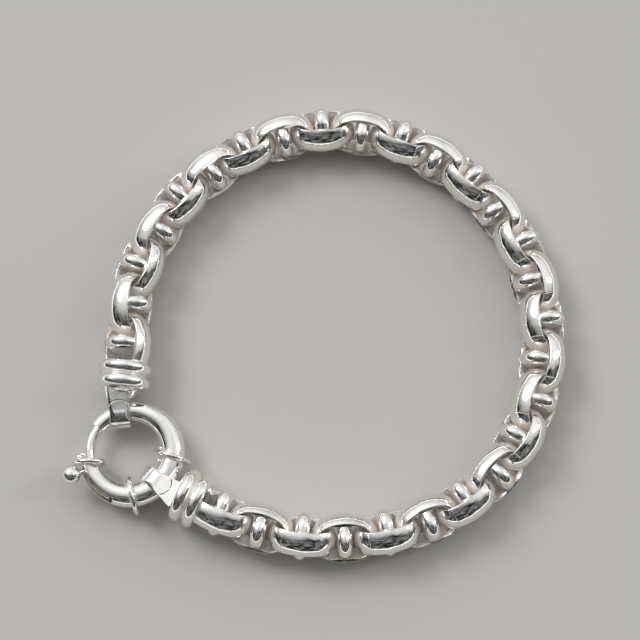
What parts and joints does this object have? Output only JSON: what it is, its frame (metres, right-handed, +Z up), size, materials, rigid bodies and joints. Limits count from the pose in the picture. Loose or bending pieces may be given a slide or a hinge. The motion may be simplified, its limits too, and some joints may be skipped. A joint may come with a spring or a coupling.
{
  "type": "chain bracelet",
  "caption": "Chain bracelet of interlocked oval links with round cross studs, ringed end caps and a bolt ring clasp, lying as a closed loop.",
  "frame": {"origin": "middle of the base of the bracelet's box, on the surface that it lies on", "axes": "+Z up from that surface, with the clasp at the -X side; the links run clockwise from the clasp seen from above"},
  "size_m": [0.0722, 0.0676, 0.0079],
  "materials": {
    "silver": "polished sterling silver, lightly tarnished in the recesses"
  },
  "bodies": {
    "bracelet": {"link_01": "silver", "link_02": "silver", "link_03": "silver", "link_04": "silver", "link_05": "silver", "link_06": "silver", "link_07": "silver", "link_08": "silver", "link_09": "silver", "link_10": "silver", "link_11": "silver", "link_12": "silver", "link_13": "silver", "link_14": "silver", "link_15": "silver", "link_16": "silver", "link_17": "silver", "link_18": "silver", "link_19": "silver", "link_20": "silver", "link_21": "silver", "link_22": "silver", "link_23": "silver", "link_24": "silver", "link_25": "silver", "link_26": "silver", "end_left": "silver", "end_right": "silver", "bolt_ring": "silver"},
    "bolt": {"bolt": "silver"}
  },
  "joints": [
    {"name": "bolt", "type": "hinge", "parent": "bracelet", "child": "bolt", "pos_m": [-0.02686, -0.01808, 0.003], "axis": [0, 0, 1], "range_deg": [0, 46], "stiffness_Nm_per_rad": 0.001, "springref_deg": -5.73}
  ]
}
